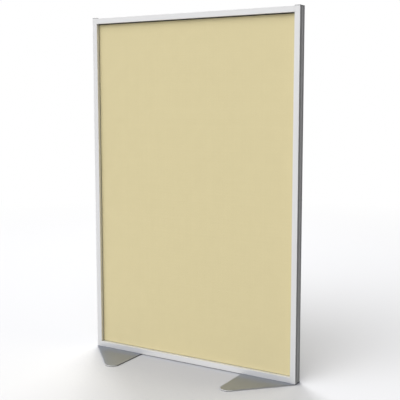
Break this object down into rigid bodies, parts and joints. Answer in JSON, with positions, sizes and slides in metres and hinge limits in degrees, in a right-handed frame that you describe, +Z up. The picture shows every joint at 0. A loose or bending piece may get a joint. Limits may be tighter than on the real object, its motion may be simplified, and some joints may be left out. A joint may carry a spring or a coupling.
{
  "type": "partition screen",
  "caption": "Free-standing partition screen: fabric-covered board in an aluminium frame of grooved extrusion, standing on two flat steel foot plates.",
  "frame": {"origin": "on the floor, midway between the ends and midway through the depth of the screen", "axes": "+X along the width, to the right as seen from the front; -Y towards the viewer; +Z up"},
  "size_m": [1, 0.4444, 1.5],
  "materials": {
    "frame": "satin anodised",
    "board": "raw fibreboard",
    "fabric": "fine plain weave, matt",
    "gasket": "matt black",
    "cap": "moulded, matt grey",
    "strip": "extruded, matt grey",
    "foot": "satin",
    "screws": "zinc plated"
  },
  "bodies": {
    "root": {"left_stile": "frame", "right_stile": "frame", "top_rail": "frame", "bottom_rail": "frame", "panel_board": "board", "front_fabric": "fabric", "back_fabric": "fabric", "left_gasket": "gasket", "right_gasket": "gasket", "top_gasket": "gasket", "bottom_gasket": "gasket", "left_top_cap": "cap", "right_top_cap": "cap", "left_edge_strip": "strip", "right_edge_strip": "strip", "top_edge_strip": "strip", "corner_screws": "screws", "left_foot_plate": "foot", "right_foot_plate": "foot", "left_nut_bar": "screws", "right_nut_bar": "screws", "foot_stile_screws": "screws", "foot_rail_screws": "screws"}
  },
  "joints": []
}
